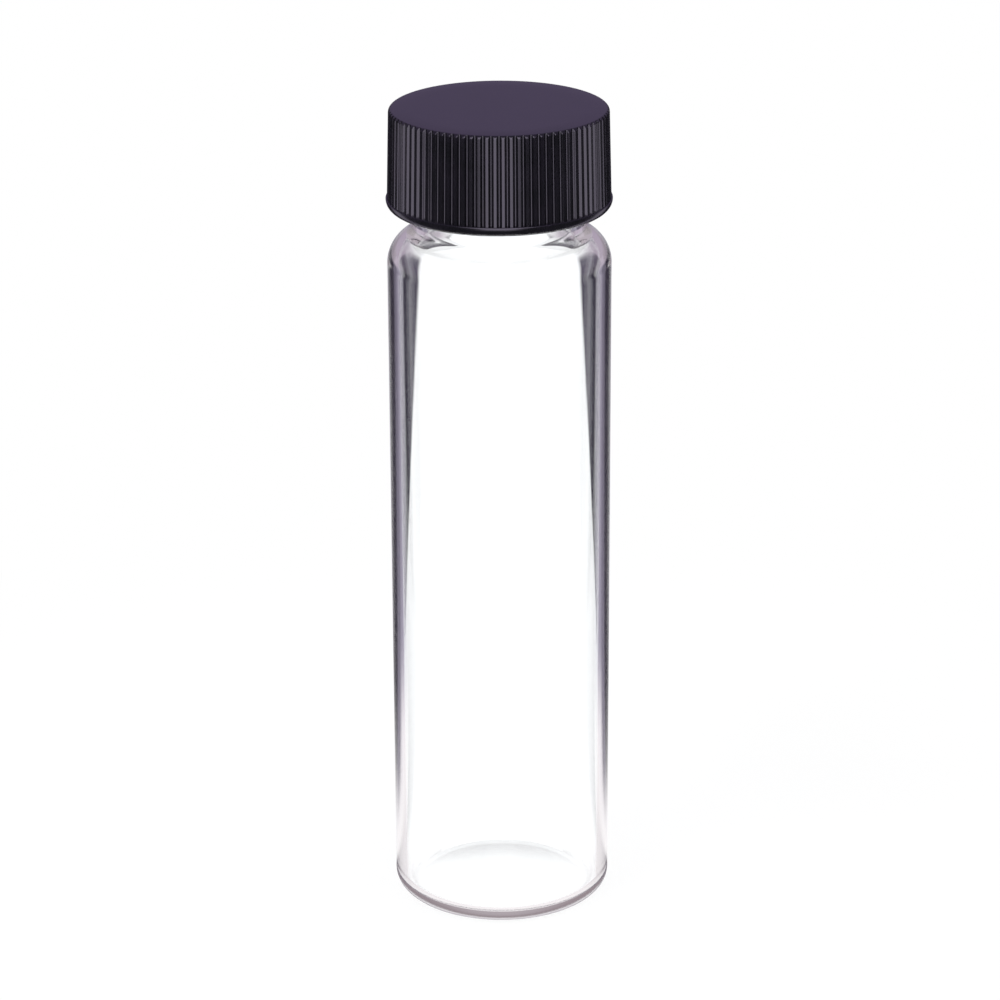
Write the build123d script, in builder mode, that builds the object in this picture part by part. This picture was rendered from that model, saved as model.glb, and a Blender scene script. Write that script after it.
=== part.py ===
from build123d import *
from math import acos, atan, cos, degrees, pi, radians, sin
import os

# Glass sample vial with a continuous-thread neck and a fluted screw cap.
# Millimetres, +Z up, origin at the centre of the foot that the vial stands on.

# Driving dimensions of the glass
body_diameter = 25.0
body_wall = 1.2
glass_height = 91.55
finish_height = 15.1
shoulder_radius = 3.8
neck_root_radius = 1.2
lip_radius = 0.7
neck_wall = 1.83
base_thickness = 1.0
push_up = 0.9
heel_radius = 1.8
inner_heel_radius = 1.5
foot_width = 1.0

# Driving dimensions of the screw thread, one start, right-handed
thread_pitch = 3.175
thread_root_diameter = 19.66
thread_depth = 1.015
thread_turns = 1.25
thread_root_width = 2.2
thread_crest_width = 0.8
thread_start_below_lip = 2.2
glass_thread_angle = 30
cap_thread_above_rim = 1.5
thread_fade_angle = 40
thread_tip_share = 0.1
thread_sink = 0.25
thread_section_step = 20

# Driving dimensions of the cap and its liner
cap_height = 11.25
cap_top_wall = 1.5
cap_skirt_wall_top = 1.105
cap_skirt_wall_foot = 1.355
cap_band_wall = 1.505
cap_band_height = 1.2
cap_band_edge = 0.4
cap_ledge_chamfer = 0.12
cap_top_edge = 0.4
cap_mouth_chamfer = 0.35
flute_count = 88
flute_depth = 0.28
flute_mouth_width = 0.62
flute_root_width = 0.2
liner_thickness = 1.0

# Clearances between the pieces
thread_radial_clearance = 0.25
thread_flank_clearance = 0.2
liner_side_clearance = 0.25

# Sizes that follow from them
body_radius = body_diameter / 2
inner_radius = body_radius - body_wall
neck_radius = thread_root_diameter / 2
crest_radius = neck_radius + thread_depth
bore_radius = neck_radius - neck_wall
shoulder_start = glass_height - finish_height
heel_start = body_radius - heel_radius
foot_start = heel_start - foot_width
inner_floor_radius = inner_radius - inner_heel_radius
skirt_radius = crest_radius + thread_radial_clearance
cap_crest_radius = neck_radius + thread_radial_clearance
liner_radius = skirt_radius - liner_side_clearance
cap_top_radius = skirt_radius + cap_skirt_wall_top
cap_foot_radius = skirt_radius + cap_skirt_wall_foot
cap_band_radius = skirt_radius + cap_band_wall
ceiling_height = glass_height + liner_thickness
cap_top_height = ceiling_height + cap_top_wall
rim_height = cap_top_height - cap_height
thread_top = glass_height - thread_start_below_lip
thread_origin = thread_top - thread_pitch * (thread_turns + glass_thread_angle / 360)
cap_thread_origin = thread_origin - thread_pitch / 2
cap_thread_angle = 360 * (rim_height + cap_thread_above_rim - cap_thread_origin) / thread_pitch


def blend_angle(width, first_radius, second_radius):
    """Angle that two opposite arcs turn through to step a wall sideways, at most level."""
    return degrees(acos(max(0, 1 - width / (first_radius + second_radius))))


def blend_run(width, first_radius, second_radius):
    """Length of the level wall between the arcs where they can't step the whole width."""
    return max(0, width - first_radius - second_radius)


def dome_radius(half_width, rise):
    """Radius of the ball that a shallow dome is cut from, with its centre on the axis."""
    return (half_width**2 + rise**2) / (2 * rise)


def thread_section_plane(radius, height, angle):
    """Plane across the helix: x points away from the axis, the normal runs along the thread."""
    turn = radians(angle)
    along = Vector(-radius * sin(turn), radius * cos(turn), thread_pitch / (2 * pi))
    origin = (radius * cos(turn), radius * sin(turn), height + thread_pitch * angle / 360)
    return Plane(origin=origin, x_dir=(cos(turn), sin(turn), 0), z_dir=along)


def thread_ridge(wall_radius, ridge_radius, root_width, crest_width, height, start_angle):
    """One helical ridge on a wall, which swells from the wall and fades back into it."""
    depth = ridge_radius - wall_radius
    sunk = -thread_sink if depth > 0 else thread_sink
    sweep_angle = 360 * thread_turns
    sections = round(sweep_angle / thread_section_step)
    with BuildPart() as ridge:
        for section in range(sections + 1):
            travelled = sweep_angle * section / sections
            from_end = min(travelled, sweep_angle - travelled) / thread_fade_angle
            swell = sin(pi / 2 * min(1, max(thread_tip_share, from_end)))
            with BuildSketch(thread_section_plane(wall_radius, height, start_angle + travelled)):
                with BuildLine():
                    Polyline(
                        (sunk, -root_width / 2),
                        (depth * swell, -crest_width / 2),
                        (depth * swell, crest_width / 2),
                        (sunk, root_width / 2),
                        close=True,
                    )
                make_face()
        loft()
    return ridge.part


# Thread of the glass, and the cap's thread in the middle of the groove that it leaves
glass_thread = thread_ridge(
    neck_radius, crest_radius, thread_root_width, thread_crest_width, thread_origin, glass_thread_angle
)
groove_at_crest = thread_pitch - thread_crest_width - 2 * thread_flank_clearance
groove_at_root = thread_pitch - thread_root_width - 2 * thread_flank_clearance
cap_thread = thread_ridge(
    skirt_radius, cap_crest_radius, groove_at_crest, groove_at_root, cap_thread_origin, cap_thread_angle
)

# Glass vial: the section of the drawn tube, from the push-up under the foot round to the bore
shoulder_angle = blend_angle(body_radius - neck_radius, shoulder_radius, neck_root_radius)
shoulder_run = blend_run(body_radius - neck_radius, shoulder_radius, neck_root_radius)
inner_shoulder_radius = shoulder_radius - body_wall
inner_root_radius = neck_root_radius + body_wall
inner_angle = blend_angle(inner_radius - bore_radius, inner_shoulder_radius, inner_root_radius)
inner_run = blend_run(inner_radius - bore_radius, inner_shoulder_radius, inner_root_radius)
with BuildPart() as glass_vial:
    with BuildSketch(Plane.XZ):
        with BuildLine():
            underside = RadiusArc((0, push_up), (foot_start, 0), dome_radius(foot_start, push_up))
            foot = Line(underside @ 1, (heel_start, 0))
            heel = JernArc(foot @ 1, (1, 0), heel_radius, 90)
            wall = Line(heel @ 1, (body_radius, shoulder_start))
            shoulder = JernArc(wall @ 1, (0, 1), shoulder_radius, shoulder_angle)
            neck_start = shoulder @ 1 + shoulder_run * (shoulder % 1)
            if shoulder_run > 0:
                Line(shoulder @ 1, neck_start)
            neck_root = JernArc(neck_start, shoulder % 1, neck_root_radius, -shoulder_angle)
            neck = Line(neck_root @ 1, (neck_radius, glass_height - lip_radius))
            outer_lip = JernArc(neck @ 1, (0, 1), lip_radius, 90)
            land = Line(outer_lip @ 1, (bore_radius + lip_radius, glass_height))
            inner_lip = JernArc(land @ 1, (-1, 0), lip_radius, 90)
            inner_shoulder = JernArc(
                (inner_radius, shoulder_start), (0, 1), inner_shoulder_radius, inner_angle
            )
            bore_start = inner_shoulder @ 1 + inner_run * (inner_shoulder % 1)
            if inner_run > 0:
                Line(inner_shoulder @ 1, bore_start)
            inner_root = JernArc(bore_start, inner_shoulder % 1, inner_root_radius, -inner_angle)
            bore = Line(inner_lip @ 1, inner_root @ 1)
            inner_wall = Line(inner_shoulder @ 0, (inner_radius, base_thickness + inner_heel_radius))
            inner_heel = JernArc(inner_wall @ 1, (0, -1), inner_heel_radius, -90)
            floor_ball = dome_radius(inner_floor_radius, push_up)
            floor = RadiusArc(inner_heel @ 1, (0, base_thickness + push_up), -floor_ball)
            axis_line = Line(floor @ 1, underside @ 0)
        make_face()
    revolve(axis=Axis.Z)
    add(glass_thread)

# Cutter of one flute, which leans with the draft of the skirt and opens wider than the skirt
flute_foot = rim_height + cap_band_height
skirt_top = cap_top_height - cap_top_edge
draft_angle = degrees(atan((cap_foot_radius - cap_top_radius) / (skirt_top - flute_foot)))
lean = Vector(-sin(radians(draft_angle)), 0, cos(radians(draft_angle)))
skirt_foot = (cap_foot_radius, 0, flute_foot)
flank_run = (flute_mouth_width - flute_root_width) / 2
with BuildPart() as flute_cutter:
    with BuildSketch(Plane(origin=skirt_foot, x_dir=(0, -1, 0), z_dir=lean)):
        with BuildLine():
            Polyline(
                (-flute_root_width / 2, -flute_depth),
                (flute_root_width / 2, -flute_depth),
                (flute_mouth_width / 2 + flank_run, flute_depth),
                (-flute_mouth_width / 2 - flank_run, flute_depth),
                close=True,
            )
        make_face()
    extrude(amount=cap_height)

# Screw cap: a drafted skirt with flutes above a plain band, the hollow and its thread
with BuildPart() as screw_cap:
    with BuildSketch(Plane.XZ):
        with BuildLine():
            rim = Line((0, rim_height), (cap_band_radius - cap_band_edge, rim_height))
            band_edge = JernArc(rim @ 1, (1, 0), cap_band_edge, 90)
            band = Line(band_edge @ 1, (cap_band_radius, flute_foot - cap_ledge_chamfer))
            ledge_edge = Line(band @ 1, (cap_band_radius - cap_ledge_chamfer, flute_foot))
            ledge = Line(ledge_edge @ 1, (cap_foot_radius, flute_foot))
            skirt = Line(ledge @ 1, (cap_top_radius, skirt_top))
            top_edge = JernArc(skirt @ 1, (0, 1), cap_top_edge, 90)
            top = Line(top_edge @ 1, (0, cap_top_height))
            centre_line = Line(top @ 1, rim @ 0)
        make_face()
    revolve(axis=Axis.Z)
    with PolarLocations(0, flute_count):
        add(flute_cutter.part, mode=Mode.SUBTRACT)
    with BuildSketch(Plane.XY.offset(rim_height)):
        Circle(skirt_radius)
    extrude(amount=ceiling_height - rim_height, mode=Mode.SUBTRACT)
    mouth = screw_cap.faces().filter_by(Plane.XY).sort_by(Axis.Z)[0].inner_wires()[0].edges()
    chamfer(mouth, cap_mouth_chamfer)
    add(cap_thread)

# Liner: the soft disc that the cap presses on the lip
with BuildPart() as cap_liner:
    with BuildSketch(Plane.XY.offset(glass_height)):
        Circle(liner_radius)
    extrude(amount=liner_thickness)

os.makedirs("parts", exist_ok=True)
glass_vial.part.label = "glass_vial"
export_step(glass_vial.part, "parts/glass_vial.step")
screw_cap.part.label = "screw_cap"
export_step(screw_cap.part, "parts/screw_cap.step")
cap_liner.part.label = "cap_liner"
export_step(cap_liner.part, "parts/cap_liner.step")
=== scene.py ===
import math

import bmesh
import bpy
from mathutils import Matrix, Vector


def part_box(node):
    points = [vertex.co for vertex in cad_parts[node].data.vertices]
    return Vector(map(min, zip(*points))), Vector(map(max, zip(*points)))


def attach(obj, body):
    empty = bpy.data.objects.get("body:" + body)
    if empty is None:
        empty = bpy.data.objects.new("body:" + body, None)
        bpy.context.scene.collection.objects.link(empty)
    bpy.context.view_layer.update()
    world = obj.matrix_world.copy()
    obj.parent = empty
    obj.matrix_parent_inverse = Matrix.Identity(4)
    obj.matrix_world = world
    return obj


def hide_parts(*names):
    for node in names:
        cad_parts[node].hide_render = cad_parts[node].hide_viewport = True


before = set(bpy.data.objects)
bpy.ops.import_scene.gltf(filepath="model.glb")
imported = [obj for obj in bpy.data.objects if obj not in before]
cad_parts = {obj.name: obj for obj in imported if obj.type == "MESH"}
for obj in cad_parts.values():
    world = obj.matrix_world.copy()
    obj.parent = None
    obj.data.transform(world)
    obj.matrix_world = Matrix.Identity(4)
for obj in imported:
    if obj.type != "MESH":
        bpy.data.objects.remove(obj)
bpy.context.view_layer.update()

# Places read from the frame, in metres
MM = 0.001
glass_low, glass_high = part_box("glass_vial")
cap_low, cap_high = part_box("screw_cap")
liner_low, liner_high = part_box("cap_liner")
BODY_RADIUS = (glass_high[0] - glass_low[0]) / 2
GLASS_TOP = glass_high[2]
RIM = cap_low[2]
CAP_TOP = cap_high[2]
BAND_RADIUS = (cap_high[0] - cap_low[0]) / 2
CEILING = liner_high[2]
LINER_BOTTOM = liner_low[2]
LINER_RADIUS = (liner_high[0] - liner_low[0]) / 2

# Sizes of the glass
WALL = 1.2 * MM
SHOULDER_START = GLASS_TOP - 15.1 * MM
SHOULDER_BEND = 3.8 * MM
NECK_BEND = 1.2 * MM
NECK_RADIUS = 9.83 * MM
BORE_RADIUS = 8.0 * MM
LIP_BEND = 0.7 * MM
BASE_THICKNESS = 1.0 * MM
PUSH_UP = 0.9 * MM
HEEL_BEND = 1.8 * MM
INNER_HEEL_BEND = 1.5 * MM
FOOT_WIDTH = 1.0 * MM

# Sizes of the screw thread
PITCH = 3.175 * MM
TURNS = 1.25
THREAD_DEPTH = 1.015 * MM
THREAD_ROOT = 2.2 * MM
THREAD_CREST = 0.8 * MM
THREAD_CREST_ROUNDING = 0.1 * MM
THREAD_FADE = math.radians(40)
GLASS_THREAD_ANGLE = math.radians(30)
GLASS_THREAD_BELOW_LIP = 2.2 * MM
CAP_THREAD_ABOVE_RIM = 1.5 * MM
THREAD_CLEARANCE = 0.25 * MM
FLANK_CLEARANCE = 0.2 * MM

# Sizes of the cap; a flute's half widths are shares of the way from one flute to the next
SKIRT_RADIUS_TOP = 12.2 * MM
SKIRT_RADIUS_FOOT = 12.45 * MM
BAND_HEIGHT = 1.2 * MM
BAND_BEND = 1.05 * MM
LEDGE_BEND = 0.12 * MM
TOP_BEND = 0.4 * MM
CEILING_BEND = 0.4 * MM
CEILING_CLEAR_OF_THREAD = 0.5 * MM
MOUTH_CHAMFER = 0.35 * MM
FLUTES = 88
FLUTE_DEPTH = 0.28 * MM
FLUTE_ROOT_HALF_WIDTH = 0.10
FLUTE_MOUTH_HALF_WIDTH = 0.33
LINER_BEND = 0.15 * MM

# How finely the meshes are divided
GLASS_COLUMNS = 240
FLUTE_COLUMNS = 12
CAP_COLUMNS = FLUTES * FLUTE_COLUMNS
BORE_RATIO = 4
LINER_COLUMNS = 144
THREAD_STEP = 0.14 * MM
WALL_STEP = 5 * MM
BORE_STEP = 2 * MM
DOME_STEPS = 12

# Places nearer than these count as the same place, and as a place on the axis
SAME_PLACE = 1e-6
ON_AXIS = 1e-7

THREAD_ORIGIN = GLASS_TOP - GLASS_THREAD_BELOW_LIP - PITCH * (TURNS + GLASS_THREAD_ANGLE / math.tau)
CAP_THREAD_ORIGIN = THREAD_ORIGIN - PITCH / 2
CAP_THREAD_ANGLE = math.tau * (RIM + CAP_THREAD_ABOVE_RIM - CAP_THREAD_ORIGIN) / PITCH
CAP_THREAD_ROOT = PITCH - THREAD_CREST - 2 * FLANK_CLEARANCE
CAP_THREAD_CREST = PITCH - THREAD_ROOT - 2 * FLANK_CLEARANCE
SKIRT_BORE = NECK_RADIUS + THREAD_DEPTH + THREAD_CLEARANCE


def smoothstep(low, high, value):
    t = min(1.0, max(0.0, (value - low) / (high - low)))
    return t * t * (3 - 2 * t)


class Outline:
    """Half a lathe section, drawn as a path of (radius, height) points with a heading."""

    def __init__(self, radius, height):
        self.points = [(radius, height)]
        self.heading = 0.0

    def run_to(self, radius, height, step=None):
        """Goes straight to a point, in equal steps if a step is given."""
        r0, z0 = self.points[-1]
        length = math.hypot(radius - r0, height - z0)
        count = max(1, round(length / step)) if step else 1
        for i in range(1, count + 1):
            self.points.append((r0 + (radius - r0) * i / count, z0 + (height - z0) * i / count))
        self.heading = math.atan2(height - z0, radius - r0)

    def bend(self, bend_radius, degrees, count):
        """Turns through an arc of so many steps, to the left where degrees are positive."""
        r0, z0 = self.points[-1]
        side = 1 if degrees > 0 else -1
        centre_r = r0 - side * bend_radius * math.sin(self.heading)
        centre_z = z0 + side * bend_radius * math.cos(self.heading)
        for i in range(1, count + 1):
            heading = self.heading + math.radians(degrees) * i / count
            r = centre_r + side * bend_radius * math.sin(heading)
            z = centre_z - side * bend_radius * math.cos(heading)
            self.points.append((r, z))
        self.heading += math.radians(degrees)

    def head(self, degrees):
        """Turns on the spot, and returns the outline for the bend that follows."""
        self.heading = math.radians(degrees)
        return self


def step_angle(width, first_bend, second_bend):
    """Angle of two opposite arcs that step a wall sideways by a width."""
    return math.degrees(math.acos(1 - width / (first_bend + second_bend)))


def ridge_height(angle, height, origin, start_angle, root, crest):
    """Share of a thread ridge's full height at a place on the wall, from 0 to 1."""
    best = 0.0
    sweep = math.tau * TURNS
    crest_edge = crest / 2 - THREAD_CREST_ROUNDING
    for turn in range(3):
        travelled = angle + math.tau * turn - start_angle
        if not 0 <= travelled <= sweep:
            continue
        away = abs(height - origin - PITCH * (angle + math.tau * turn) / math.tau)
        from_end = min(travelled, sweep - travelled) / THREAD_FADE
        swell = math.sin(math.pi / 2 * min(1.0, from_end))
        best = max(best, swell * (1 - smoothstep(crest_edge, root / 2, away)))
    return best


def ring(columns, r, z, reshape=None):
    """What a point of an outline sweeps: a ring, whose radius may change with the angle, or a pole."""
    if r < ON_AXIS:
        return [(0.0, 0.0, z)]
    points = []
    for i in range(columns):
        angle = math.tau * i / columns
        radius = reshape(angle, r, z) if reshape else r
        points.append((radius * math.cos(angle), radius * math.sin(angle), z))
    return points


def lathe(rings):
    """A bmesh of the rings, each joined to the next."""
    mesh = bmesh.new()
    rows = []
    for points in rings:
        rows.append([mesh.verts.new(point) for point in points])
    for lower, upper in zip(rows, rows[1:]):
        stitch(mesh, lower, upper)
    return mesh


def stitch(mesh, lower, upper):
    """Joins two rings, also where one has a whole number of times the other's vertices."""
    if len(lower) == 1 or len(upper) == 1:
        tip, rim, flip = (lower[0], upper, False) if len(lower) == 1 else (upper[0], lower, True)
        for i, vertex in enumerate(rim):
            after = rim[(i + 1) % len(rim)]
            mesh.faces.new((tip, vertex, after) if flip else (tip, after, vertex))
        return
    if len(lower) == len(upper):
        count = len(lower)
        for i in range(count):
            j = (i + 1) % count
            mesh.faces.new((lower[i], lower[j], upper[j], upper[i]))
        return
    fine, coarse, flip = (upper, lower, True) if len(upper) > len(lower) else (lower, upper, False)
    ratio = len(fine) // len(coarse)
    for i, vertex in enumerate(coarse):
        after = coarse[(i + 1) % len(coarse)]
        fan = [fine[(i * ratio + k) % len(fine)] for k in range(ratio + 1)]
        half = ratio // 2
        for k in range(ratio):
            tip = vertex if k < half else after
            mesh.faces.new((fan[k], tip, fan[k + 1]) if flip else (fan[k], fan[k + 1], tip))
        mesh.faces.new((vertex, after, fan[half]) if flip else (fan[half], after, vertex))


def finished_object(name, mesh, material, sharp_degrees=None):
    """Makes the object from a bmesh, shaded smooth but for edges sharper than an angle."""
    bmesh.ops.recalc_face_normals(mesh, faces=mesh.faces)
    data = bpy.data.meshes.new(name)
    mesh.to_mesh(data)
    mesh.free()
    data.polygons.foreach_set("use_smooth", [True] * len(data.polygons))
    if sharp_degrees:
        data.set_sharp_from_angle(angle=math.radians(sharp_degrees))
    piece = bpy.data.objects.new(name, data)
    bpy.context.scene.collection.objects.link(piece)
    data.materials.append(material)
    return piece


class Wire:
    """A shader socket that takes part in Python expressions by adding Math nodes."""

    def __init__(self, tree, socket):
        self.tree = tree
        self.socket = socket

    def node(self, kind, settings=None, output=0, **inputs):
        """Adds any node: its settings first, then values or wires for its sockets.

        An input is a socket's name with _ for each space, or i and its number, such as i0.
        """
        made = self.tree.nodes.new(kind)
        for key, value in (settings or {}).items():
            setattr(made, key, value)
        for key, value in inputs.items():
            place = int(key[1:]) if key[0] == "i" and key[1:].isdigit() else key.replace("_", " ")
            if isinstance(value, Wire):
                self.tree.links.new(value.socket, made.inputs[place])
            else:
                made.inputs[place].default_value = value
        return Wire(self.tree, made.outputs[output])

    def math(self, operation, first, second=0.0):
        return self.node("ShaderNodeMath", {"operation": operation}, i0=first, i1=second)

    def __add__(self, other):
        return self.math("ADD", self, other)

    __radd__ = __add__

    def __sub__(self, other):
        return self.math("SUBTRACT", self, other)

    def __rsub__(self, other):
        return self.math("SUBTRACT", other, self)

    def __mul__(self, other):
        return self.math("MULTIPLY", self, other)

    __rmul__ = __mul__

    def __truediv__(self, other):
        return self.math("DIVIDE", self, other)

    def __rtruediv__(self, other):
        return self.math("DIVIDE", other, self)

    def __abs__(self):
        return self.math("ABSOLUTE", self)

    def smallest(self, other):
        return self.math("MINIMUM", self, other)

    def largest(self, other):
        return self.math("MAXIMUM", self, other)

    def ramp(self, zero_at, one_at):
        """A soft step from 0 at the first value to 1 at the second, whichever is larger."""
        rising = self.node(
            "ShaderNodeMapRange", {"interpolation_type": "SMOOTHSTEP"}, Value=self,
            From_Min=min(zero_at, one_at), From_Max=max(zero_at, one_at),
        )
        return rising if zero_at <= one_at else 1 - rising

    def counts_over(self, number):
        """1 where a whole number is over a limit, or else 0."""
        return self.ramp(number + 0.4, number + 0.6)


def colour_mix(wire, factor, first, second):
    """Mixes two colours by a value."""
    settings = {"data_type": "RGBA"}
    return wire.node("ShaderNodeMix", settings, output=2, i0=factor, i6=first, i7=second)


def shader_mix(wire, factor, first, second):
    """Mixes two shaders by a value."""
    return wire.node("ShaderNodeMixShader", i0=factor, i1=first, i2=second)


def split(wire, vector):
    """The x, y and z of a vector."""
    parts = wire.node("ShaderNodeSeparateXYZ", Vector=vector).socket.node
    return [Wire(wire.tree, parts.outputs[i]) for i in range(3)]


def light_path(wire, *facts):
    """Facts about the ray that meets a surface, by their names on the Light Path node."""
    path = wire.node("ShaderNodeLightPath").socket.node
    return [Wire(wire.tree, path.outputs[fact]) for fact in facts]


def object_place(wire):
    """Place on a piece, in its own metres."""
    object_output = 3
    return wire.node("ShaderNodeTexCoord", output=object_output)


def new_material(name):
    """A material with an empty tree; returns it with a wire to start from and its output node."""
    material = bpy.data.materials.new(name)
    material.use_nodes = True
    tree = material.node_tree
    tree.nodes.clear()
    output = tree.nodes.new("ShaderNodeOutputMaterial")
    return material, Wire(tree, None), output


def show(shader, output):
    """Joins a shader to the output node of its tree."""
    shader.tree.links.new(shader.socket, output.inputs["Surface"])


# Painted glow that stands in for light trapped in the glass: painted dark in the foot, palest in the
# wall, and between the two in the base, shoulder and neck. A pair of heights is a soft change, from the
# first to the second.
WHITE = (1.0, 1.0, 1.0, 1.0)
PAINTED_GLOW_IN_FOOT = (0.34, 0.28, 0.30, 1.0)
PAINTED_GLOW_IN_BASE = (0.52, 0.46, 0.49, 1.0)
PAINTED_GLOW_IN_WALL = (0.88, 0.82, 0.84, 1.0)
FOOT_TO_BASE = (0.4 * MM, 1.2 * MM)
BASE_TO_WALL = (1.2 * MM, 2.0 * MM)
WALL_TO_SHOULDER = (70 * MM, 60 * MM)
PAINTED_GLOW_AFTER_BOUNCES = 3


def clear_glass():
    """Clear borosilicate glass, with the faint draw lines and ripple of a hot-formed tube.

    Light that is trapped in the glass for many bounces is painted in: a glowing grey, painted by height.
    """
    material, wire, output = new_material("clear_glass")
    place = object_place(wire)
    stretched = wire.node("ShaderNodeMapping", Vector=place, Scale=(900.0, 900.0, 30.0))
    drawn = wire.node("ShaderNodeTexNoise", Vector=stretched, Scale=1.0, Detail=2.0)
    ripple = wire.node("ShaderNodeTexNoise", Vector=place, Scale=160.0, Detail=1.0)
    relief = drawn * 0.3 + ripple
    bump = wire.node("ShaderNodeBump", Strength=0.04, Distance=0.05 * MM, Height=relief)
    tint = colour_mix(wire, ripple, (0.985, 0.99, 0.992, 1.0), (0.995, 0.997, 0.998, 1.0))
    glass = wire.node("ShaderNodeBsdfGlass", Color=tint, Roughness=0.0, IOR=1.5, Normal=bump)
    bounces, shadow_ray = light_path(wire, "Glossy Depth", "Is Shadow Ray")
    height = split(wire, place)[2]
    grey = colour_mix(wire, height.ramp(*FOOT_TO_BASE), PAINTED_GLOW_IN_FOOT, PAINTED_GLOW_IN_BASE)
    wall = height.ramp(*BASE_TO_WALL) * height.ramp(*WALL_TO_SHOULDER)
    grey = colour_mix(wire, wall, grey, PAINTED_GLOW_IN_WALL)
    # Painted glow: an emitted grey by height that stands in for light trapped in the glass, not a lamp
    painted_glow = wire.node("ShaderNodeEmission", Color=grey, Strength=1.0)
    bent = shader_mix(wire, bounces.counts_over(PAINTED_GLOW_AFTER_BOUNCES), glass, painted_glow)
    thin_shadow = wire.node("ShaderNodeBsdfTransparent", Color=(0.93, 0.935, 0.94, 1.0))
    show(shader_mix(wire, shadow_ray, bent, thin_shadow), output)
    return material


def black_plastic():
    """Moulded black plastic with a slight violet cast, satin, with a fine flow texture."""
    material, wire, output = new_material("black_plastic")
    place = object_place(wire)
    mottle = wire.node("ShaderNodeTexNoise", Vector=place, Scale=260.0, Detail=4.0, Roughness=0.6)
    grain = wire.node("ShaderNodeTexNoise", Vector=place, Scale=2600.0, Detail=3.0, Roughness=0.55)
    dark = (0.0025, 0.0028, 0.0036, 1.0)
    violet = (0.0062, 0.005, 0.0088, 1.0)
    colour = colour_mix(wire, mottle.ramp(0.3, 0.7), dark, violet)
    rough = 0.16 + 0.10 * mottle
    bump = wire.node("ShaderNodeBump", Strength=0.12, Distance=0.02 * MM, Height=grain)
    skin = wire.node(
        "ShaderNodeBsdfPrincipled", Base_Color=colour, Roughness=rough, IOR=1.52, Normal=bump
    )
    show(skin, output)
    return material


def liner_foam():
    """Soft off-white liner with a fine closed-cell surface."""
    material, wire, output = new_material("liner_foam")
    place = object_place(wire)
    cells = wire.node("ShaderNodeTexVoronoi", Vector=place, Scale=2200.0)
    cloud = wire.node("ShaderNodeTexNoise", Vector=place, Scale=300.0, Detail=4.0)
    colour = colour_mix(wire, cloud, (0.66, 0.64, 0.60, 1.0), (0.76, 0.75, 0.71, 1.0))
    bump = wire.node("ShaderNodeBump", Strength=0.25, Distance=0.03 * MM, Height=cells)
    skin = wire.node("ShaderNodeBsdfPrincipled", Base_Color=colour, Roughness=0.7, Normal=bump)
    show(skin, output)
    return material


def glass_outline(inner_radius, outer_angle):
    """The section of the tube, from the push-up under the foot round to the floor inside."""
    heel_start = BODY_RADIUS - HEEL_BEND
    foot_start = heel_start - FOOT_WIDTH
    floor_radius = inner_radius - INNER_HEEL_BEND
    inner_shoulder = SHOULDER_BEND - WALL
    inner_neck = NECK_BEND + WALL
    inner_angle = step_angle(inner_radius - BORE_RADIUS, inner_shoulder, inner_neck)
    shoulder_rise = (inner_shoulder + inner_neck) * math.sin(math.radians(inner_angle))

    outline = Outline(0.0, PUSH_UP)
    for i in range(1, DOME_STEPS + 1):
        r = foot_start * i / DOME_STEPS
        outline.points.append((r, PUSH_UP * (1 - (r / foot_start) ** 2)))
    outline.run_to(heel_start, 0.0, step=FOOT_WIDTH / 3)
    outline.bend(HEEL_BEND, 90, count=14)
    outline.run_to(BODY_RADIUS, SHOULDER_START, step=WALL_STEP)
    outline.bend(SHOULDER_BEND, outer_angle, count=18)
    outline.bend(NECK_BEND, -outer_angle, count=12)
    outline.run_to(NECK_RADIUS, GLASS_TOP - LIP_BEND, step=THREAD_STEP)
    outline.bend(LIP_BEND, 90, count=10)
    outline.run_to(BORE_RADIUS + LIP_BEND, GLASS_TOP)
    outline.bend(LIP_BEND, 90, count=10)
    outline.run_to(BORE_RADIUS, SHOULDER_START + shoulder_rise, step=BORE_STEP)
    outline.bend(inner_neck, inner_angle, count=14)
    outline.bend(inner_shoulder, -inner_angle, count=16)
    outline.run_to(inner_radius, BASE_THICKNESS + INNER_HEEL_BEND, step=WALL_STEP)
    outline.bend(INNER_HEEL_BEND, -90, count=14)
    for i in range(1, DOME_STEPS + 1):
        r = floor_radius * (1 - i / DOME_STEPS)
        outline.points.append((r, BASE_THICKNESS + PUSH_UP * (1 - (r / floor_radius) ** 2)))
    return outline


def glass_thread(angle, r, z):
    """Radius of the neck where its thread stands out."""
    share = ridge_height(angle, z, THREAD_ORIGIN, GLASS_THREAD_ANGLE, THREAD_ROOT, THREAD_CREST)
    return r + THREAD_DEPTH * share


def make_vial(material):
    """The drawn glass tube, inside and out, with its thread rolled on the neck."""
    outer_angle = step_angle(BODY_RADIUS - NECK_RADIUS, SHOULDER_BEND, NECK_BEND)
    neck_foot = SHOULDER_START + (SHOULDER_BEND + NECK_BEND) * math.sin(math.radians(outer_angle))
    rings = []
    for r, z in glass_outline(BODY_RADIUS - WALL, outer_angle).points:
        on_neck = abs(r - NECK_RADIUS) < SAME_PLACE and neck_foot < z < GLASS_TOP - LIP_BEND
        rings.append(ring(GLASS_COLUMNS, r, z, glass_thread if on_neck else None))
    vial = finished_object("vial_glass", lathe(rings), material)
    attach(vial, "vial")
    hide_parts("glass_vial")


def flute_share(angle):
    """How deep a flute is at an angle round the cap, from 0 on the land to 1 at its root."""
    across = angle * FLUTES / math.tau
    return 1 - smoothstep(FLUTE_ROOT_HALF_WIDTH, FLUTE_MOUTH_HALF_WIDTH, abs(across - round(across)))


def fluted_skirt(angle, r, z):
    """Radius of the skirt, which leans in towards the top, with its flutes cut in."""
    foot = RIM + BAND_HEIGHT
    top = CAP_TOP - TOP_BEND
    skirt = SKIRT_RADIUS_FOOT + (SKIRT_RADIUS_TOP - SKIRT_RADIUS_FOOT) * (z - foot) / (top - foot)
    return min(r, skirt - FLUTE_DEPTH * flute_share(angle))


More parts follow.
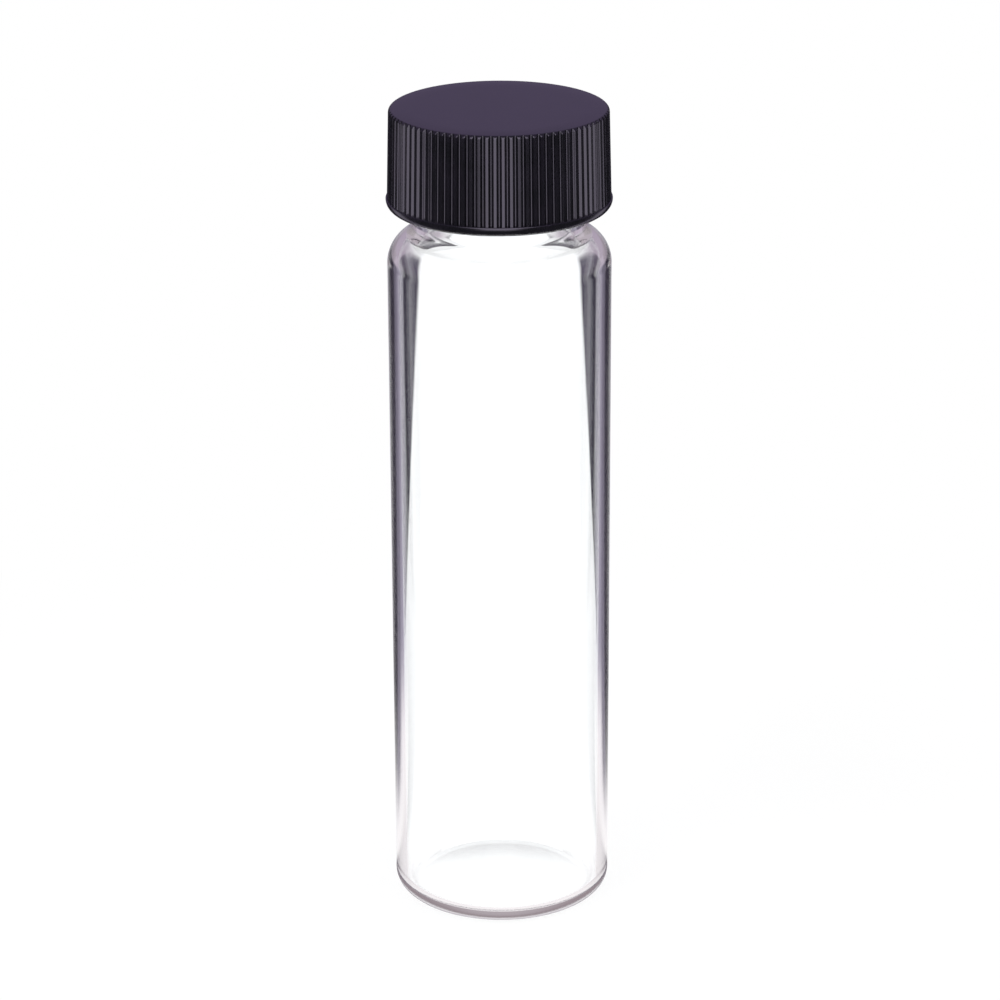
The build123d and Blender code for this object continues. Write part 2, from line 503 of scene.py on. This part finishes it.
def cap_thread(angle, r, z):
    """Radius of the cap's hollow where its thread stands in."""
    share = ridge_height(
        angle, z, CAP_THREAD_ORIGIN, CAP_THREAD_ANGLE, CAP_THREAD_ROOT, CAP_THREAD_CREST
    )
    return r - THREAD_DEPTH * share


def make_cap(material):
    """The moulded cap: its hollow with the inner thread, the plain band, the flutes and the top."""
    flute_foot = RIM + BAND_HEIGHT
    hollow = Outline(0.0, CEILING)
    hollow.run_to(SKIRT_BORE - CEILING_BEND, CEILING, step=3 * MM)
    hollow.head(0).bend(CEILING_BEND, -90, count=5)
    hollow.run_to(SKIRT_BORE, RIM + MOUTH_CHAMFER, step=THREAD_STEP)
    hollow.run_to(SKIRT_BORE + MOUTH_CHAMFER, RIM)
    shell = Outline(SKIRT_BORE + MOUTH_CHAMFER, RIM)
    shell.run_to(BAND_RADIUS - BAND_BEND, RIM)
    shell.head(0).bend(BAND_BEND, 90, count=7)
    shell.run_to(BAND_RADIUS, flute_foot - LEDGE_BEND)
    shell.head(90).bend(LEDGE_BEND, 90, count=4)
    shell.run_to(SKIRT_RADIUS_FOOT, flute_foot)
    shell.run_to(SKIRT_RADIUS_TOP, CAP_TOP - TOP_BEND, step=1.2 * MM)
    shell.head(90).bend(TOP_BEND, 90, count=9)
    shell.run_to(0.0, CAP_TOP, step=2.5 * MM)

    rings = []
    for r, z in hollow.points:
        threaded = abs(r - SKIRT_BORE) < SAME_PLACE and z < CEILING - CEILING_CLEAR_OF_THREAD
        rings.append(ring(CAP_COLUMNS // BORE_RATIO, r, z, cap_thread if threaded else None))
    for r, z in shell.points[1:]:
        fluted = z > flute_foot - ON_AXIS and r <= SKIRT_RADIUS_FOOT + ON_AXIS
        rings.append(ring(CAP_COLUMNS, r, z, fluted_skirt if fluted else None))
    cap = finished_object("cap_shell", lathe(rings), material, sharp_degrees=40)
    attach(cap, "cap")
    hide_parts("screw_cap")


def make_liner(material):
    """The sealing disc under the cap's ceiling."""
    outline = Outline(0.0, LINER_BOTTOM)
    outline.run_to(LINER_RADIUS - LINER_BEND, LINER_BOTTOM, step=2 * MM)
    outline.head(0).bend(LINER_BEND, 90, count=4)
    outline.run_to(LINER_RADIUS, CEILING - LINER_BEND)
    outline.head(90).bend(LINER_BEND, 90, count=4)
    outline.run_to(0.0, CEILING, step=2 * MM)
    rings = [ring(LINER_COLUMNS, r, z) for r, z in outline.points]
    liner = finished_object("sealing_disc", lathe(rings), material)
    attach(liner, "liner")
    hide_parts("cap_liner")


# The studio that glass and gloss meet, in degrees round the axis and metres from it. A pair of
# numbers is a soft change, from the first place to the second.
DEGREES_IN_RADIAN = math.degrees(1)

# Through the glass: white paper runs out from the vial on four sides, with black flags between,
# white again at the corners, and a pale horizon beyond.
PAPER_HALF_WIDTH = 0.0436
PAPER_WIDEST_SINE = 0.72
PAPER_EDGE = (-0.7, 0.7)
PAPER_SEEN_THROUGH = (1.25, 1.25, 1.25, 1.0)
FLAG_DARK = (0.012, 0.010, 0.018, 1.0)
FLAG_PALE = (0.08, 0.07, 0.10, 1.0)
FLAG_GRADE = (24, 14)
CORNER_PAPER = (1.1, 1.1, 1.1, 1.0)
CORNER_START = (35, 37.5)
HORIZON_DARK = (0.03, 0.025, 0.04, 1.0)
HORIZON_PALE = (0.47, 0.40, 0.47, 1.0)
HORIZON_BEYOND_PAPER = (6, 12)
HORIZON_FROM = (0.30, 0.40)
BENT_BY_ONE_WALL = 2

# Light that has only skimmed along inside the wall meets darker flags, which turn pale towards the
# corners. Close to the vial a line lies further round, by its spread divided by the distance.
SKIM_DARK = (0.034, 0.028, 0.048, 1.0)
SKIM_PALE = (0.32, 0.295, 0.365, 1.0)
SKIM_NEAR = (1.0, 0.95, 0.96, 1.0)
SKIM_FLANK_ANGLE = 56.0
SKIM_FLANK_SPREAD = 0.4
SKIM_PAPER = (12.5, 1)
SKIM_PAPER_SPREAD = 0.2
SKIM_NEAR_PAPER = (0.039, 0.013)
SKIM_NEAR_CORNER = (0.085, 0.046)
SKIM_CORNER = (37, 47)
SKIM_CORNER_SPREAD = 0.17
SKIM_HORIZON_FROM = (0.34, 0.48)

# In gloss: dim behind, then dark, a pale bar, dark again, grey sides and a soft light in front
GLOSS_BEHIND = (0.22, 0.20, 0.26, 1.0)
GLOSS_DARK = (0.010, 0.009, 0.015, 1.0)
GLOSS_PALE = (0.80, 0.72, 0.92, 1.0)
GLOSS_SIDE = (0.10, 0.09, 0.12, 1.0)
GLOSS_FRONT = (2.7, 2.45, 3.1, 1.0)
GLOSS_BEHIND_TO_DARK = (12, 26)
GLOSS_DARK_TO_PALE = (40, 48)
GLOSS_PALE_TO_DARK = (62, 69)
GLOSS_NEAR = (0.070, 0.010)
GLOSS_SIDE_START = (66, 76)
GLOSS_FRONT_START = (154, 168)
GLOSS_FRONT_FROM = (0.12, 0.17)

# The room beyond the floor: its horizon by angle, and what is above by the direction's upward part
HORIZON_DARK_TO_PALE = (12, 22)
LEAST_ROOM_DISTANCE = 0.2
HORIZON_TO_WHITE = (0.2, 0.5)
HORIZON_TO_OVERHEAD = (0.05, 0.15)
OVERHEAD = (0.25, 0.195, 0.345, 1.0)
OVERHEAD_FRONT = (3.2, 2.85, 3.7, 1.0)
OVERHEAD_FRONT_START = (135, 155)
OVERHEAD_FRONT_TOP = (0.95, 0.8)
ROOM_LIGHT = (0.55, 0.55, 0.56, 1.0)

# The floor: its paper, and how much of the camera's white gives way to the shadow by the vial
FLOOR_PAPER = (0.92, 0.92, 0.92, 1.0)
FLOOR_HALF_WIDTH = 3.0
LEAST_DISTANCE = 0.01 * MM
FLOOR_CORNERS = ((-1, -1), (1, -1), (1, 1), (-1, 1))
WHITE_BY_VIAL = 0.8
SHADOW_REACH = (0.04, 0.12)


def quarter_angle(wire, x, y):
    """Angle to the nearest of the four sides round the axis, from 0 to 45."""
    turns = wire.math("ARCTAN2", y, x) * (4 / math.tau) + 0.5
    return abs(turns.math("FRACT", turns) - 0.5) * 90


def side_angle(wire, x, y, distance):
    """Angle to the nearest side, where the front and back reach further round than the flanks."""
    turned = abs(wire.math("ARCTAN2", x, abs(y))) * DEGREES_IN_RADIAN
    flank = wire.math("GREATER_THAN", turned - SKIM_FLANK_SPREAD / distance, SKIM_FLANK_ANGLE)
    return turned + flank * (90 - 2 * turned)


def angle_from_back(wire, x, y):
    """Angle round the axis from straight behind the vial, from 0 to 180."""
    return abs(wire.math("ARCTAN2", x, y)) * DEGREES_IN_RADIAN


def skim_colour(wire, side, distance):
    """What light meets that has skimmed along inside the wall."""
    off_paper = side - SKIM_PAPER_SPREAD / distance
    off_corner = side - SKIM_CORNER_SPREAD / distance
    colour = colour_mix(wire, off_paper.ramp(*SKIM_PAPER), SKIM_DARK, WHITE)
    colour = colour_mix(wire, distance.ramp(*SKIM_NEAR_PAPER), colour, SKIM_NEAR)
    pale = colour_mix(wire, distance.ramp(*SKIM_NEAR_CORNER), SKIM_PALE, SKIM_NEAR)
    colour = colour_mix(wire, off_corner.ramp(*SKIM_CORNER), colour, pale)
    return colour_mix(wire, distance.ramp(*SKIM_HORIZON_FROM), colour, HORIZON_PALE)


def studio_through_glass(wire, x, y, distance, depth):
    """Colour that a ray out of the glass meets, by its direction and how often it was bent."""
    quarter = quarter_angle(wire, x, y)
    sine = (PAPER_HALF_WIDTH / distance).smallest(PAPER_WIDEST_SINE)
    edge = wire.math("ARCSINE", sine) * DEGREES_IN_RADIAN
    paper = (edge - quarter).ramp(*PAPER_EDGE)
    flag = colour_mix(wire, quarter.ramp(*FLAG_GRADE), FLAG_DARK, FLAG_PALE)
    flag = colour_mix(wire, quarter.ramp(*CORNER_START), flag, CORNER_PAPER)
    beyond = colour_mix(wire, quarter.ramp(*HORIZON_BEYOND_PAPER), WHITE, HORIZON_PALE)
    flag = colour_mix(wire, distance.ramp(*HORIZON_FROM), flag, beyond)
    through = colour_mix(wire, paper, flag, PAPER_SEEN_THROUGH)
    skim = skim_colour(wire, side_angle(wire, x, y, distance), distance)
    return colour_mix(wire, depth.counts_over(BENT_BY_ONE_WALL), skim, through)


def studio_in_gloss(wire, x, y, distance):
    """Colour that a mirrored ray meets: a soft front light, grey sides and pale bars behind."""
    from_back = angle_from_back(wire, x, y)
    colour = colour_mix(wire, from_back.ramp(*GLOSS_BEHIND_TO_DARK), GLOSS_BEHIND, GLOSS_DARK)
    colour = colour_mix(wire, from_back.ramp(*GLOSS_DARK_TO_PALE), colour, GLOSS_PALE)
    colour = colour_mix(wire, from_back.ramp(*GLOSS_PALE_TO_DARK), colour, GLOSS_DARK)
    colour = colour_mix(wire, distance.ramp(*GLOSS_NEAR), colour, WHITE)
    colour = colour_mix(wire, from_back.ramp(*GLOSS_SIDE_START), colour, GLOSS_SIDE)
    front = from_back.ramp(*GLOSS_FRONT_START) * distance.ramp(*GLOSS_FRONT_FROM)
    return colour_mix(wire, front, colour, GLOSS_FRONT)


def make_floor():
    """Plain pale floor: white to the camera, with the soft shadow, and the studio to glass and gloss."""
    material, wire, output = new_material("studio_floor")
    x, y = split(wire, object_place(wire))[:2]
    distance = wire.math("SQRT", x * x + y * y) + LEAST_DISTANCE
    camera, glossy, transmission, depth = light_path(
        wire, "Is Camera Ray", "Is Glossy Ray", "Is Transmission Ray", "Transmission Depth"
    )
    through = studio_through_glass(wire, x, y, distance, depth)
    mirrored = studio_in_gloss(wire, x, y, distance)
    seen = colour_mix(wire, transmission, mirrored, through)
    paper = wire.node("ShaderNodeBsdfDiffuse", Color=FLOOR_PAPER)
    glow = wire.node("ShaderNodeEmission", Color=WHITE, Strength=1.0)
    pattern = wire.node("ShaderNodeEmission", Color=seen, Strength=1.0)
    whiteness = WHITE_BY_VIAL + (1 - WHITE_BY_VIAL) * distance.ramp(*SHADOW_REACH)
    shown = shader_mix(wire, camera * whiteness, paper, glow)
    show(shader_mix(wire, transmission.largest(glossy), shown, pattern), output)

    mesh = bmesh.new()
    half = FLOOR_HALF_WIDTH
    mesh.faces.new([mesh.verts.new((half * side, half * end, 0.0)) for side, end in FLOOR_CORNERS])
    floor = finished_object("floor", mesh, material)


def make_world():
    """The room: white to the camera, plain light on the object, and the studio to glass and gloss."""
    world = bpy.data.worlds.new("studio")
    bpy.context.scene.world = world
    world.use_nodes = True
    tree = world.node_tree
    tree.nodes.clear()
    output = tree.nodes.new("ShaderNodeOutputWorld")
    wire = Wire(tree, None)
    x, y, z = split(wire, wire.node("ShaderNodeTexCoord"))
    camera, glossy, transmission, depth = light_path(
        wire, "Is Camera Ray", "Is Glossy Ray", "Is Transmission Ray", "Transmission Depth"
    )
    off_side = quarter_angle(wire, x, y).ramp(*HORIZON_DARK_TO_PALE)
    horizon = colour_mix(wire, off_side, HORIZON_DARK, HORIZON_PALE)
    through = colour_mix(wire, depth.counts_over(BENT_BY_ONE_WALL), HORIZON_PALE, horizon)
    through = colour_mix(wire, z.ramp(*HORIZON_TO_WHITE), through, WHITE)
    distance = wire.math("SQRT", x * x + y * y) + LEAST_ROOM_DISTANCE
    mirrored = studio_in_gloss(wire, x, y, distance)
    ahead = angle_from_back(wire, x, y).ramp(*OVERHEAD_FRONT_START) * z.ramp(*OVERHEAD_FRONT_TOP)
    above = colour_mix(wire, ahead, OVERHEAD, OVERHEAD_FRONT)
    mirrored = colour_mix(wire, z.ramp(*HORIZON_TO_OVERHEAD), mirrored, above)
    colour = colour_mix(wire, camera, ROOM_LIGHT, WHITE)
    colour = colour_mix(wire, glossy, colour, mirrored)
    colour = colour_mix(wire, transmission, colour, through)
    show(wire.node("ShaderNodeBackground", Color=colour, Strength=1.0), output)


# The lamps aim at the middle of the vial
LAMP_AIM = (0, 0, 0.05)


def area_light(name, place, size, power):
    """One soft square lamp, aimed at the vial."""
    data = bpy.data.lights.new(name, "AREA")
    data.shape = "RECTANGLE"
    data.size = size
    data.size_y = size
    data.energy = power
    lamp = bpy.data.objects.new(name, data)
    bpy.context.scene.collection.objects.link(lamp)
    lamp.location = place
    lamp.rotation_euler = (Vector(LAMP_AIM) - Vector(place)).to_track_quat("-Z", "Y").to_euler()
    lamp.visible_glossy = False
    lamp.visible_transmission = False


# Camera, from the photo's perspective: distance and height in metres, tilt and roll in radians
CAMERA_DISTANCE = 0.3925
CAMERA_HEIGHT = 0.19745
CAMERA_TILT = 0.364
CAMERA_ROLL = -0.0041
CAMERA_SIDE = -0.00005
FOCAL_PIXELS = 3675
IMAGE_PIXELS = 1000
SENSOR_MM = 36.0
NEAREST_SEEN = 0.01


def make_camera():
    """The camera, which the scene is rendered from."""
    data = bpy.data.cameras.new("camera")
    data.sensor_width = SENSOR_MM
    data.lens = SENSOR_MM * FOCAL_PIXELS / IMAGE_PIXELS
    data.clip_start = NEAREST_SEEN
    camera = bpy.data.objects.new("camera", data)
    bpy.context.scene.collection.objects.link(camera)
    camera.location = (CAMERA_SIDE, -CAMERA_DISTANCE, CAMERA_HEIGHT)
    aim = Matrix.Rotation(math.pi / 2 - CAMERA_TILT, 3, "X")
    camera.rotation_euler = (aim @ Matrix.Rotation(CAMERA_ROLL, 3, "Z")).to_euler()
    bpy.context.scene.camera = camera


bpy.context.scene.view_settings.view_transform = "Standard"
make_camera()
make_world()
make_floor()
area_light("key", place=(-0.35, -0.25, 0.6), size=0.35, power=3.0)
area_light("fill", place=(0.4, -0.1, 0.5), size=0.3, power=1.5)
make_vial(clear_glass())
make_cap(black_plastic())
make_liner(liner_foam())
